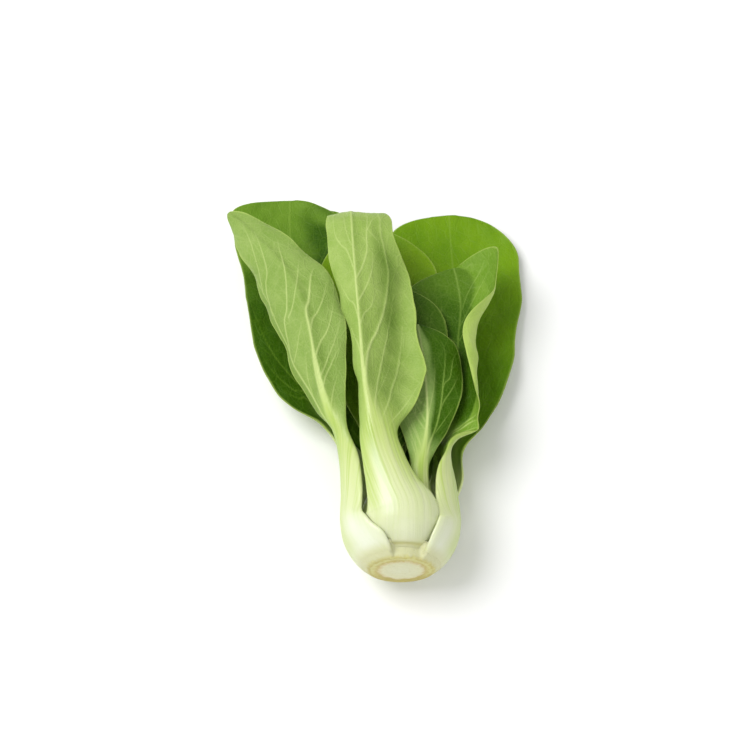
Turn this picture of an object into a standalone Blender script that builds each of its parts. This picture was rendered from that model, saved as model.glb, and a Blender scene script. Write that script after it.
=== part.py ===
"""A head of bok choy, cut off at the root and lying on its side.

Metres, +Z up. The root points to -Y, the leaves to +Y, and the head rests on z = 0.
Every leaf is a pale stalk and a green blade, each its own solid. All of them grow
from one short root stub, in three layers round it with two small heart leaves inside.
A leaf is laid out by stations along its midrib, in millimetres in the head's own
frame: y runs from the cut, x to the right, z up from the surface it lies on.
"""

import math

import bpy
import numpy as np

MM = 0.001

# The swollen foot of the head is a ball that the stalks wrap.
BULB_CENTRE = np.array([-0.5, 25.0, 26.4])
ALONG = np.array([0.0, 1.0, 0.0])
FOOT_CLIMB = 39.3
WAIST_CLIMB = 85.0

# The cut end.
CUT_Y = 2.4
CUT_RADIUS = 16.2
CUT_BEVEL = 0.6
CONE_STEPS = (4.9, 8.0, 11.0, 14.0, 17.0)
STUB_END = (18.6, 3.2)
STUB_SIDES = 28

# Gap that two touching solids keep, and how far a flat facet cuts inside its curve.
GAP = 0.3
FACET_SAG = 0.2

# Outer points lower than this are pressed flat on the surface it lies on.
FLAT_BELOW = 0.25

# Stalks, from their foot to the neck below the blade. They reach their full
# thickness after SWELL and thin again over the last part of the way.
FOOT_THICK = 3.4
STALK_THICK = 5.6
NECK_THICK = 4.2
STALK_RIM = 1.5
SWELL = 16.0
THINNING = 0.45

# Blades, with the midrib standing out of the outer face.
BLADE_THICK = 0.8
RIB_HEIGHT = 3.2
RIB_END_HEIGHT = 0.4
RIB_HALF = 4.2
RIB_END_HALF = 1.0
NECK_BLEND = 24.0

# Waves along the rims grow over WAVE_START from the neck, one in 26 mm.
WAVE_START = 30.0
WAVE_RADIAN = 4.2

# Tips round off by this power and keep a little width at their very end.
TIP_POWER = 2.2
TIP_KEEP = 0.99

# Columns on each side of the midrib, as parts of the half-width.
STALK_COLUMNS = (0.0, 0.25, 0.5, 0.75, 1.0)
BLADE_COLUMNS = (0.0, 0.07, 0.17, 0.35, 0.57, 0.79, 1.0)
STALK_ROWS = 11
BLADE_ROWS = 17

STALK_COLOUR = (0.72, 0.80, 0.45)
OUTER_GREEN = (0.28, 0.45, 0.10)
INNER_GREEN = (0.12, 0.27, 0.02)
STUB_COLOUR = (0.70, 0.66, 0.40)


def smooth(low, high, value):
    """A soft step from 0 at low to 1 at high."""
    share = np.clip((value - low) / (high - low), 0.0, 1.0)
    return share * share * (3.0 - 2.0 * share)


def at(x, y, z, face, width, bend=(0, 0), flare=(0, 0), tilt=0):
    """One station of a leaf. A point on the midrib's crest and the angle its face looks to.
    Then, for the minus and the plus side, the half-width, its even bend and its rim's flare.
    Tilt leans the whole section along the leaf. Angles are in degrees."""
    return [x, y, z, face, *width, *bend, *flare, tilt]


def bulb(angle, reach, fold, minus, plus):
    """Stations up the bulb from foot to waist, with their spread to each side in degrees."""
    rows = []
    around = math.radians(angle)
    outward = np.array([math.cos(around), 0.0, math.sin(around)])
    for k, spread in enumerate(zip(minus, plus)):
        share = k / (len(minus) - 1)
        climb = math.radians(FOOT_CLIMB + (WAIST_CLIMB - FOOT_CLIMB) * share)
        radius = reach[0] + (reach[1] - reach[0]) * smooth(0.0, 1.0, share)
        point = BULB_CENTRE + radius * (math.sin(climb) * outward - math.cos(climb) * ALONG)
        width = [math.radians(side) * radius * math.sin(climb) for side in spread]
        bend = [side * radius / (radius + (fold - radius) * share) for side in spread]
        rows.append(at(*point, angle, width, bend, (0, 0), 90.0 - math.degrees(climb)))
    return rows


LEAVES = {
    "front": dict(
        stout=1.0, neck=3, tip=(12, 12), wave=0.7, colour=OUTER_GREEN,
        foot=bulb(89, (23.2, 27.4), 19.0, (29.5, 27.5, 27, 31.5, 36.5), (34, 38, 40, 39, 38)),
        stations=[
            at(-4.2, 34, 54.6, 90, (15.4, 15), (62, 62)),
            at(-9.0, 48, 53.6, 90, (12, 13), (66, 60)),
            at(-12.0, 60, 52.8, 90, (10, 13), (68, 50)),
            at(-13.8, 68, 53.2, 90, (9.5, 19.5), (78, 55), (0, -60)),
            at(-16.6, 83, 54.5, 90, (10.5, 27.5), (98, 95), (0, -140)),
            at(-19.0, 110, 56.8, 90, (11.5, 27), (100, 105), (0, -150)),
            at(-21.2, 138, 57.8, 90, (12.5, 24.4), (54, 70), (0, -60)),
            at(-22.6, 158, 57.0, 90, (13, 19.8), (34, 18)),
            at(-23.2, 170, 53.6, 90, (12.4, 18.6), (28, 8)),
            at(-23.4, 175.5, 48.0, 90, (11, 15.6), (24, 6)),
            at(-23.0, 178, 40.0, 90, (9, 13), (24, 6)),
        ]),
    "left": dict(
        stout=1.0, neck=3, tip=(30, 30), wave=0.8, colour=OUTER_GREEN,
        foot=bulb(176, (27, 27), 26.5, (45.4, 45.4, 45.4, 45, 43), (72, 70, 65, 53, 46)),
        stations=[
            at(-27.3, 38, 31.5, 174, (13, 17.5), (40, 54)),
            at(-28.0, 53, 34.0, 168, (9.5, 13.2), (50, 56)),
            at(-29.8, 65, 37.5, 150, (7, 7), (50, 50)),
            at(-33.5, 75, 41.5, 122, (10, 9), (40, 25)),
            at(-39.0, 97, 46.5, 104, (16, 14.6), (45, 20)),
            at(-43.0, 116, 49.5, 98, (19.5, 17.8), (58, 22)),
            at(-48.0, 132, 50.5, 98, (22, 18), (62, 25)),
            at(-56.0, 147, 48.5, 100, (19, 14), (62, 25)),
            at(-66.5, 161.5, 44.5, 102, (14, 11), (56, 20)),
            at(-77.5, 175.5, 39.5, 104, (9.5, 8), (48, 15)),
            at(-82.0, 181, 37.0, 104, (8, 7), (40, 10)),
        ]),
    "right": dict(
        stout=1.0, neck=3, tip=(8, 14), wave=0.8, colour=INNER_GREEN,
        foot=bulb(6, (27, 27), 26.5, (48, 48, 47, 44, 42), (48.4, 48.4, 48.4, 46, 40)),
        stations=[
            at(25.2, 34, 32.4, 15, (15.5, 12), (54, 42)),
            at(23.4, 48, 32.2, 8, (11.5, 8.5), (52, 50)),
            at(21.6, 59, 29.6, -28, (8, 6.5), (46, 45)),
            at(21.2, 67, 27.2, -64, (16, 10), (5, 20)),
            at(23.2, 84, 26.4, -80, (24, 18), (40, 15), (85, 0)),
            at(26.0, 102, 25.5, -84, (28, 22), (125, 12), (50, 0)),
            at(27.2, 120, 24.5, -86, (26, 24), (150, 10), (12, 0)),
            at(28.4, 138, 24.0, -88, (24, 25), (60, 10), (26, 0), -22),
            at(27.0, 151, 23.5, -88, (27, 24), (50, 8), (26, 0), -38),
            at(25.6, 158, 23.0, -88, (25, 22), (48, 8), (20, 0), -46),
        ]),
    "back": dict(
        stout=1.0, neck=3, tip=(40, 40), wave=0.5, colour=INNER_GREEN,
        foot=bulb(268, (27, 27), 26.5, (48.4, 48.4, 48.4, 47, 43), (45.4, 45.4, 45.4, 45, 43)),
        stations=[
            at(-1.0, 36, -0.4, 268, (16, 16), (38, 38)),
            at(-2.0, 50, 1.4, 268, (16, 13), (32, 32)),
            at(-4.0, 64, 2.8, 268, (15, 11), (24, 24)),
            at(-7.0, 76, 3.2, 270, (18, 18), (8, 8)),
            at(-13.0, 100, 2.5, 270, (24, 24), (0, 0)),
            at(-20.0, 130, 1.3, 270, (28, 28), (-4, -4)),
            at(-28.0, 160, 0.9, 270, (28, 28), (-5, -5)),
            at(-34.0, 184, 0.9, 270, (25, 25), (-5, -5)),
            at(-38.0, 203, 1.2, 270, (21, 21), (-2, -2)),
        ]),
    "back_left": dict(
        stout=0.95, neck=3, tip=(26, 9), wave=0.8, colour=INNER_GREEN,
        foot=bulb(220, (23.0, 21.4), 15.5, (36, 38, 38, 36, 33), (36, 38, 38, 36, 33)),
        stations=[
            at(-17.0, 38, 12.0, 220, (9.5, 9.5), (48, 48)),
            at(-21.5, 58, 11.0, 228, (8.5, 8.5), (45, 45)),
            at(-33.0, 80, 11.0, 240, (6.5, 6.5), (45, 45)),
            at(-38.0, 90, 11.5, 255, (13, 14), (20, 20)),
            at(-44.0, 106, 11.5, 262, (21, 20), (20, 14)),
            at(-48.5, 130, 11.0, 266, (27, 23), (24, 12)),
            at(-51.5, 158, 10.0, 268, (29, 24), (20, 12)),
            at(-53.5, 184, 10.0, 268, (31, 28), (16, 12)),
            at(-54.0, 203, 11.5, 268, (28, 29), (14, 12)),
        ]),
    "back_right": dict(
        stout=0.95, neck=3, tip=(28, 12), wave=0.8, colour=INNER_GREEN,
        foot=bulb(318, (23.0, 21.2), 15.5, (35, 36, 35, 31, 27), (36, 38, 38, 36, 33)),
        stations=[
            at(20.0, 37, 10.0, 314, (8, 11.5), (48, 48)),
            at(25.0, 50, 11.0, 310, (8, 13), (45, 40)),
            at(25.6, 66, 10.5, 298, (6.5, 11), (45, 40)),
            at(27.0, 77, 9.5, 285, (13, 13), (20, 20)),
            at(28.0, 98, 7.0, 275, (22, 22), (14, 10)),
            at(28.0, 126, 4.5, 271, (28, 26), (12, 8)),
            at(27.0, 153, 2.8, 270, (32, 29), (12, 8)),
            at(25.5, 178, 2.6, 270, (32, 30), (12, 8)),
            at(24.5, 199, 4.4, 270, (28, 28), (10, 8)),
        ]),
    "inner_right": dict(
        stout=0.75, neck=2, tip=(16, 16), wave=0.6, colour=OUTER_GREEN,
        foot=bulb(50, (19.2, 20.4), 14.5, (30, 33, 34, 34, 33), (30, 33, 34, 34, 33)),
        stations=[
            at(9.6, 36, 41.0, 60, (8, 7.5), (50, 50)),
            at(8.9, 46, 41.8, 72, (5.5, 5), (45, 45)),
            at(10.2, 56, 41.8, 82, (8.5, 6.5), (25, 30)),
            at(11.6, 69, 41.2, 88, (13.5, 11.5), (20, 22)),
            at(11.4, 86, 40.4, 92, (15, 17.5), (20, 28)),
            at(10.2, 101, 39.8, 92, (15, 19), (20, 34)),
            at(8.6, 114, 39.0, 92, (14, 16), (20, 30)),
            at(7.8, 120, 38.4, 92, (12, 13), (20, 25)),
        ]),
    "inner_left": dict(
        stout=0.75, neck=2, tip=(16, 16), wave=0.6, colour=OUTER_GREEN,
        foot=bulb(132, (19.2, 20.4), 14.5, (30, 33, 34, 34, 33), (30, 33, 34, 34, 33)),
        stations=[
            at(-10.5, 37, 40.2, 124, (9, 9), (50, 50)),
            at(-8.5, 51, 39.6, 112, (6, 6), (45, 45)),
            at(-6.5, 64, 37.6, 100, (10, 10), (25, 25)),
            at(-3.5, 82, 35.0, 92, (16, 17), (16, 16)),
            at(-0.5, 100, 33.8, 90, (18, 20), (14, 14)),
            at(1.0, 118, 33.0, 90, (18, 21), (14, 14)),
            at(1.0, 134, 32.6, 90, (17, 19), (14, 14)),
            at(1.0, 142, 32.2, 90, (15, 16), (14, 14)),
        ]),
    "inner_back": dict(
        stout=0.85, neck=2, tip=(30, 30), wave=0.6, colour=INNER_GREEN,
        foot=bulb(266, (19.0, 17.2), 13.5, (26, 25, 25, 26, 26), (26, 25, 25, 26, 26)),
        stations=[
            at(-2.5, 40, 11.5, 266, (8, 8), (50, 50)),
            at(-5.0, 60, 14.0, 268, (6.5, 6.5), (45, 45)),
            at(-7.0, 74, 15.5, 269, (12, 12), (22, 22)),
            at(-9.5, 100, 17.5, 270, (20, 20), (12, 12)),
            at(-12.0, 128, 18.0, 270, (29, 25), (10, 10)),
            at(-13.5, 154, 17.5, 270, (32, 26), (10, 10)),
            at(-14.0, 172, 17.0, 270, (28, 24), (10, 10)),
            at(-14.0, 183, 17.0, 270, (22, 20), (10, 10)),
        ]),
    "heart_left": dict(
        stout=0.55, neck=1, tip=(12, 12), wave=0.3, colour=OUTER_GREEN,
        foot=bulb(185, (14.8, 12.6), 8.6, (30, 32, 34, 36, 36), (30, 32, 34, 36, 36)),
        stations=[
            at(-9.0, 35, 27.5, 180, (6, 6), (45, 45)),
            at(-6.0, 48, 28.0, 165, (5, 5), (40, 40)),
            at(-4.5, 58, 28.0, 150, (8, 8), (40, 40)),
            at(-3.5, 70, 27.8, 140, (9, 9), (35, 35)),
            at(-3.0, 80, 27.5, 135, (7, 7), (30, 30)),
        ]),
    "heart_right": dict(
        stout=0.55, neck=1, tip=(12, 12), wave=0.3, colour=OUTER_GREEN,
        foot=bulb(5, (14.8, 12.6), 8.6, (30, 32, 34, 36, 36), (30, 32, 34, 36, 36)),
        stations=[
            at(9.0, 33, 26.0, 2, (6, 6), (45, 45)),
            at(6.5, 44, 25.5, -5, (4.5, 4.5), (40, 40)),
            at(5.5, 53, 25.0, -15, (7, 7), (40, 40)),
            at(5.0, 62, 24.5, -20, (7, 7), (35, 35)),
            at(5.0, 69, 24.0, -20, (5, 5), (30, 30)),
        ]),
}


def clear_scene():
    for item in list(bpy.data.objects):
        bpy.data.objects.remove(item, do_unlink=True)


def run_lengths(stations):
    """Distance along the leaf at each station."""
    steps = np.linalg.norm(np.diff(stations[:, :3], axis=0), axis=1)
    return np.concatenate([[0.0], np.cumsum(steps)])


def through(lengths, stations, places):
    """A smooth curve through all station values, read at the given distances."""
    slopes = np.gradient(stations, lengths, axis=0, edge_order=2)
    k = np.clip(np.searchsorted(lengths, places, side="right") - 1, 0, len(lengths) - 2)
    span = (lengths[k + 1] - lengths[k])[:, None]
    t = ((places - lengths[k])[:, None]) / span
    start = (2 * t**3 - 3 * t**2 + 1) * stations[k] + (t**3 - 2 * t**2 + t) * span * slopes[k]
    return start + (3 * t**2 - 2 * t**3) * stations[k + 1] + (t**3 - t**2) * span * slopes[k + 1]


def unit(rows):
    return rows / np.linalg.norm(rows, axis=1)[:, None]


def frames(values, tangents):
    """The outer normal and the sideways direction of each section."""
    face = np.radians(values[:, 3])
    normal = np.stack([np.cos(face), np.zeros_like(face), np.sin(face)], axis=1)
    normal -= np.sum(normal * tangents, axis=1)[:, None] * tangents
    normal = unit(normal)
    return normal, np.cross(tangents, normal)


def side_curve(bend, flare, columns):
    """One half of a section, for a half-width of 1: how far out, how far in, and its slope."""
    u = np.linspace(0.0, 1.0, 41)
    slope = np.radians(bend[:, None] * u + flare[:, None] * u**3)
    step = u[1]
    out = np.cumsum((np.cos(slope[:, 1:]) + np.cos(slope[:, :-1])) * step / 2, axis=1)
    inward = np.cumsum((np.sin(slope[:, 1:]) + np.sin(slope[:, :-1])) * step / 2, axis=1)
    zero = np.zeros((len(bend), 1))
    tables = [np.hstack([zero, out]), np.hstack([zero, inward]), slope]
    return [np.array([np.interp(columns, u, row) for row in table]) for table in tables]


def depths(places, across, width, neck, length, stout):
    """How deep the outer and the inner face lie below the midrib's crest."""
    blade = smooth(neck - 4.0, neck + NECK_BLEND, places)[:, None]
    along = np.clip((places - neck) / (length - neck), 0.0, 1.0)[:, None]
    thick = FOOT_THICK + (STALK_THICK - FOOT_THICK) * smooth(0.0, SWELL, places)
    thick += (NECK_THICK - STALK_THICK) * smooth(THINNING * neck, neck, places)
    thick = stout * thick[:, None]
    stalk = STALK_RIM + (thick - STALK_RIM) * (1.0 - across**2)
    height = stout * RIB_HEIGHT * (1.0 - along) ** 1.6 + RIB_END_HEIGHT
    half = stout * RIB_HALF * (1.0 - along) ** 1.3 + RIB_END_HALF
    ridge = np.exp(-(np.abs(across) * width / half) ** 2)
    outer = blade * height * (1.0 - ridge)
    return outer, (1.0 - blade) * stalk + blade * (height + BLADE_THICK)


def row_places(neck, length, is_blade):
    """Distances of the rows. Those of a blade crowd towards its tip."""
    if not is_blade:
        return np.linspace(0.0, neck, STALK_ROWS)
    share = np.linspace(0.0, 1.0, BLADE_ROWS)
    share = 0.6 * share + 0.4 * np.sin(share * math.pi / 2)
    return neck + GAP + (length - neck - GAP) * share


def tip_taper(places, length, reach):
    """How one side of a leaf narrows over the last stretch before its tip."""
    end = np.clip((places - (length - reach)) / reach, 0.0, 1.0)
    return np.sqrt(1.0 - (TIP_KEEP * end) ** TIP_POWER)


def leaf_grid(leaf, is_blade, columns, seed):
    """Outer and inner points of a leaf's stalk or blade, in millimetres."""
    stations = np.array(leaf["foot"] + leaf["stations"], dtype=float)
    lengths = run_lengths(stations)
    neck = lengths[len(leaf["foot"]) + leaf["neck"] - 1]
    length = lengths[-1]
    places = row_places(neck, length, is_blade)
    values = through(lengths, stations, places)
    ahead = through(lengths, stations, np.minimum(places + 0.2, length))
    behind = through(lengths, stations, np.maximum(places - 0.2, 0.0))
    tangents = unit(ahead[:, :3] - behind[:, :3])
    normal, sideways = frames(values, tangents)
    tilt = np.radians(values[:, 10])[:, None, None]
    drop = np.cos(tilt) * normal[:, None] + np.sin(tilt) * tangents[:, None]
    axis = np.cos(tilt) * tangents[:, None] - np.sin(tilt) * normal[:, None]
    phases = np.random.default_rng(seed).uniform(0.0, 2 * math.pi, 2)
    outer, inner = [], []
    for side, sign in ((0, -1.0), (1, 1.0)):
        u = np.array(columns)[None, :]
        width = (values[:, 4 + side] * tip_taper(places, length, leaf["tip"][side]))[:, None]
        out, inward, slope = side_curve(values[:, 6 + side], values[:, 8 + side], columns)
        ripple = leaf["wave"] * smooth(neck, neck + WAVE_START, places)[:, None] * u**3
        ripple = ripple * np.sin(places[:, None] / WAVE_RADIAN + phases[side])
        lean = np.cos(slope)[..., None] * drop + sign * np.sin(slope)[..., None] * sideways[:, None]
        lean = np.cos(tilt) * lean - np.sin(tilt) * axis
        base = values[:, None, :3] + sign * (out * width)[..., None] * sideways[:, None]
        base = base - (inward * width)[..., None] * drop
        low, deep = depths(places, u, width, neck, length, leaf["stout"])
        outer.append(base + (ripple - low)[..., None] * lean)
        inner.append(base + (ripple - deep)[..., None] * lean)
    join = [np.concatenate([face[0][:, :0:-1], face[1]], axis=1) for face in (outer, inner)]
    join[0][..., 2] = np.where(join[0][..., 2] < FLAT_BELOW, 0.0, join[0][..., 2])
    return join


def sheet_faces(rows, columns):
    """Triangles of a closed sheet: both faces split alike, then its four rims."""
    faces = []
    back = rows * columns
    for r in range(rows - 1):
        for c in range(columns - 1):
            a, b = r * columns + c, r * columns + c + 1
            d, e = a + columns, b + columns
            faces += [(a, b, e), (a, e, d)]
            faces += [(back + a, back + e, back + b), (back + a, back + d, back + e)]
    rim = list(range(columns - 1))
    rim += [r * columns + columns - 1 for r in range(rows - 1)]
    rim += [(rows - 1) * columns + c for c in range(columns - 1, 0, -1)]
    rim += [r * columns for r in range(rows - 1, 0, -1)]
    for a, b in zip(rim, rim[1:] + rim[:1]):
        faces += [(a, back + a, back + b), (a, back + b, b)]
    return faces


def paint(name, colour, roughness):
    material = bpy.data.materials.new(name)
    material.use_nodes = True
    shader = material.node_tree.nodes["Principled BSDF"]
    shader.inputs["Base Color"].default_value = (*colour, 1.0)
    shader.inputs["Roughness"].default_value = roughness
    return material


def add_object(name, points, faces, material):
    mesh = bpy.data.meshes.new(name)
    mesh.from_pydata([tuple(p * MM) for p in points], [], faces)
    mesh.materials.append(material)
    mesh.shade_smooth()
    mesh.update()
    item = bpy.data.objects.new(name, mesh)
    bpy.context.scene.collection.objects.link(item)
    return item


def add_sheet(name, leaf, is_blade, columns, seed, material):
    outer, inner = leaf_grid(leaf, is_blade, columns, seed)
    points = np.concatenate([outer.reshape(-1, 3), inner.reshape(-1, 3)])
    add_object(name, points, sheet_faces(*outer.shape[:2]), material)


def add_leaf(name, leaf, seed, pale):
    add_sheet(f"{name}_stalk", leaf, False, STALK_COLUMNS, seed, pale)
    green = paint(f"{name}_green", leaf["colour"], 0.5)
    add_sheet(f"{name}_blade", leaf, True, BLADE_COLUMNS, seed, green)


def stub_profile():
    """Distance from the cut's plane and radius, along the stub's outline."""
    steep = math.tan(math.radians(FOOT_CLIMB))
    clear = (GAP + FACET_SAG) / math.cos(math.radians(FOOT_CLIMB))
    edge = [(CUT_Y, CUT_RADIUS - CUT_BEVEL), (CUT_Y + CUT_BEVEL / 2, CUT_RADIUS)]
    cone = [(y, steep * (BULB_CENTRE[1] - y) - clear) for y in CONE_STEPS]
    return edge + cone + [STUB_END]


def add_stub():
    """The cut end of the root and the cone that the stalks grow from."""
    profile = stub_profile()
    points = []
    for y, radius in profile:
        for k in range(STUB_SIDES):
            turn = 2 * math.pi * k / STUB_SIDES
            swing = np.array([radius * math.cos(turn), y, radius * math.sin(turn)])
            points.append(swing + BULB_CENTRE * (1, 0, 1))
    faces = [tuple(range(STUB_SIDES))]
    for r in range(len(profile) - 1):
        for k in range(STUB_SIDES):
            a, b = r * STUB_SIDES + k, r * STUB_SIDES + (k + 1) % STUB_SIDES
            faces.append((a + STUB_SIDES, b + STUB_SIDES, b, a))
    faces.append(tuple(range(len(points) - 1, len(points) - 1 - STUB_SIDES, -1)))
    add_object("root_stub", points, faces, paint("cut_root", STUB_COLOUR, 0.6))


def centre_on_origin():
    """Put the middle of the box over the origin, in x and y."""
    items = [item for item in bpy.data.objects if item.type == "MESH"]
    places = np.array([vertex.co for item in items for vertex in item.data.vertices])
    middle = (places.min(axis=0) + places.max(axis=0)) / 2
    for item in items:
        for vertex in item.data.vertices:
            vertex.co.x -= middle[0]
            vertex.co.y -= middle[1]


def main():
    clear_scene()
    pale = paint("pale_stalk", STALK_COLOUR, 0.4)
    add_stub()
    for seed, (name, leaf) in enumerate(LEAVES.items()):
        add_leaf(name, leaf, seed, pale)
    centre_on_origin()


main()
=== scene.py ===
"""The looks of a head of bok choy that lies on its side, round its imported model.

Every leaf is rebuilt as one fine closed sheet, from the foot of its stalk to the tip of
its blade, over the same stations as the solids it stands for. Lengths in the stations
are millimetres in the head's own frame: x to the right, y from the cut, z up.
"""

import math

import bpy
import numpy as np
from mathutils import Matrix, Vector


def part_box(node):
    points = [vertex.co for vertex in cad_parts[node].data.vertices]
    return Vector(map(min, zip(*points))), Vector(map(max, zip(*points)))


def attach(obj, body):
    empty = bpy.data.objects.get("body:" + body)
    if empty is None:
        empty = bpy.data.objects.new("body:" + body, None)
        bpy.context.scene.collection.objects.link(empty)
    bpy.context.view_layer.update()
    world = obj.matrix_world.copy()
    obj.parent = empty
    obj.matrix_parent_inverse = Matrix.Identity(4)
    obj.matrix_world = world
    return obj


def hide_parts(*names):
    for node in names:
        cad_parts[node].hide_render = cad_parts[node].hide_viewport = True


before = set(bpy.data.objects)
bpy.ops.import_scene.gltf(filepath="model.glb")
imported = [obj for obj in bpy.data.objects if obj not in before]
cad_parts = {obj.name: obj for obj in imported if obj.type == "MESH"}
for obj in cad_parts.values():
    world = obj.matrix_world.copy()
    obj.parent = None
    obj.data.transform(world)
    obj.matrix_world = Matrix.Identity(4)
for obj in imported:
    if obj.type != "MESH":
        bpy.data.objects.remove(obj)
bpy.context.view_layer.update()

MM = 0.001

# The head's form, as in the solids.
BULB_CENTRE = np.array([-0.5, 25.0, 26.4])
ALONG = np.array([0.0, 1.0, 0.0])
FOOT_CLIMB = 39.3
WAIST_CLIMB = 85.0
CUT_Y = 2.4
FOOT_THICK = 3.4
STALK_THICK = 5.6
NECK_THICK = 4.2
STALK_RIM = 1.5
SWELL = 16.0
THINNING = 0.45
BLADE_THICK = 0.8
RIB_HEIGHT = 3.2
RIB_END_HEIGHT = 0.4
RIB_HALF = 4.2
RIB_END_HALF = 1.0
NECK_BLEND = 24.0
WAVE_START = 30.0
WAVE_RADIAN = 4.2
TIP_POWER = 2.2
TIP_KEEP = 0.99
NECK_LEAD = 4.0
RIB_TAPER = 1.6
RIB_SIDE_TAPER = 1.3

# The sheets alone: their thin rims, the steps that a bend is summed over, how much their
# rows crowd towards the tip, and how far they stay off the floor.
RIM_THICK = 0.45
BEND_STEPS = 41
TIP_CROWD = 0.2
FLOOR_CLEAR = 0.02

# The cut end behind its flat face, as radii and places along y: where a stalk's foot
# meets it and, under the front stalk, as a low ledge. Then its point inside the head.
FACE_RADIUS = 13.9
SIDE_SKIN = [
    (14.6, 2.62), (15.3, 2.95), (16.16, 3.57), (16.99, 4.2), (17.69, 4.8),
    (18.2, 5.3), (18.0, 7.0), (20.1, 9.3), (15.5, 10.0),
]
LEDGE = [
    (14.2, 2.75), (14.45, 3.5), (14.6, 4.6), (14.6, 5.8), (14.5, 7.0),
    (14.5, 8.0), (15.6, 9.4), (17.3, 11.5), (14.0, 11.6),
]
CUT_END = [(9.0, 13.0), (5.9, 17.0), (3.0, 18.4), (0.6, 18.5)]
LEDGE_SECTOR = (51.0, 57.0, 101.0, 107.0)

# How much skin its first rows behind the face show, how finely it is built, its roughness
# as height, size and seed, and how far down it turns brown.
SKIN_SHARE = (0.3, 0.5, 0.75, 1.0, 1.3)
CUT_SECTORS = 180
CUT_RINGS = 56
CUT_ROUGH = ((0.08, 5.0, 3), (0.04, 1.6, 4))
LOW_SIDE = 11.0

# How far the pale core sits off the cut's middle, to the right and up.
CORE_OFF = (1.0, 0.8)

# The front stalk grows from a narrow collar, set off by a groove.
COLLAR = 2.3
COLLAR_DEPTH = 0.7
GROOVE_DEPTH = 0.3
GROOVE_WIDTH = 0.9

# The outer stalks' rims are rounded over, and their feet sink into the cut end's skin.
LIP_REACH = 2.6
LIP_DROP = 1.15
LIP_ROUND = 0.98
FOOT_SINK = 0.3
FOOT_SINK_END = 2.5

# The front stalk's sides run on under the stalks beside it, on the bulb.
TUCK = 1.18
TUCK_END = (21.0, 36.0)

# A section turns with the leaf's path over this far to each side of it.
TURN_WINDOW = 3.5

# The blade starts on a slant: how far before the neck, how much later at the midrib, and
# the length of its blend at the margins, with what the midrib adds to it.
EDGE_LEAD = 12.0
EDGE_RISE = 14.0
EDGE_BLEND = (16.0, 10.0)

# Layers of random relief and tone, each as its height or share and the size of its hills.
UNEVEN = ((0.012, 24.0), (0.003, 8.0))
PUCKER = ((0.17, 9.0), (0.05, 4.5))
FLUTING = ((0.08, 3.4), (0.05, 1.7))
TONE = ((0.24, 30.0), (0.12, 11.0))
DRIFT = ((0.04, 22.0),)
PUCKER_STRETCH = 0.7
FLUTING_STRETCH = 0.02

# How far apart leaves, and a leaf's two faces, are in their textures.
LEAF_APART = 7.0
FACE_APART = 3.0

# How bold the veins are beside their listed widths and strengths, how high they stand for
# their width, how far their colour and their relief spread, and what fades at their ends.
VEIN_WIDTH = 0.72
VEIN_STRENGTH = 0.8
VEIN_HEIGHT = 0.85
VEIN_SPREAD = 1.15
RELIEF_SPREAD = 1.6
VEIN_FADE = 0.7
VEIN_MARGIN = 4.0

# The camera in millimetres and the studio in metres, the lamps as name, place, size and power.
CAMERA_TARGET = np.array([-12.0, 103.0, 20.0])
CAMERA_REACH = 1000.0
CAMERA_SLANT = math.radians(63.0)
FOCAL_PIXELS = 2140.0
IMAGE_PIXELS = 750.0
SENSOR_WIDTH = 36.0
CLIP_START = 0.01
WORLD_STRENGTH = 0.6
LAMP_AIM = (0.0, 0.0, 0.02)
FLOOR_HALF = 4.0
FLOOR_WHITE = (0.95, 0.95, 0.95, 1.0)
LAMPS = [
    ("key", (-0.55, 0.10, 1.0), 0.8, 9.8),
    ("front", (0.15, -0.95, 0.50), 0.7, 2.0),
]


def smooth(low, high, value):
    """A soft step from 0 at low to 1 at high."""
    share = np.clip((value - low) / (high - low), 0.0, 1.0)
    return share * share * (3.0 - 2.0 * share)


def at(x, y, z, face, width, bend, flare=(0, 0), tilt=0):
    """One station of a leaf. A point on the midrib's crest and the angle its face looks to.
    Then, for the minus and the plus side, the half-width, its even bend and its rim's flare.
    Tilt leans the whole section along the leaf. Angles are in degrees."""
    return [x, y, z, face, *width, *bend, *flare, tilt]


def bulb(angle, reach, fold, minus, plus=None):
    """Stations up the bulb from foot to waist, with their spread to each side in degrees.
    Where no plus side is given, it is as the minus side."""
    rows = []
    around = math.radians(angle)
    outward = np.array([math.cos(around), 0.0, math.sin(around)])
    for k, spread in enumerate(zip(minus, plus or minus)):
        share = k / (len(minus) - 1)
        climb = math.radians(FOOT_CLIMB + (WAIST_CLIMB - FOOT_CLIMB) * share)
        radius = reach[0] + (reach[1] - reach[0]) * smooth(0.0, 1.0, share)
        point = BULB_CENTRE + radius * (math.sin(climb) * outward - math.cos(climb) * ALONG)
        width = [math.radians(side) * radius * math.sin(climb) for side in spread]
        bend = [side * radius / (radius + (fold - radius) * share) for side in spread]
        rows.append(at(*point, angle, width, bend, (0, 0), 90.0 - math.degrees(climb)))
    return rows


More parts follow.
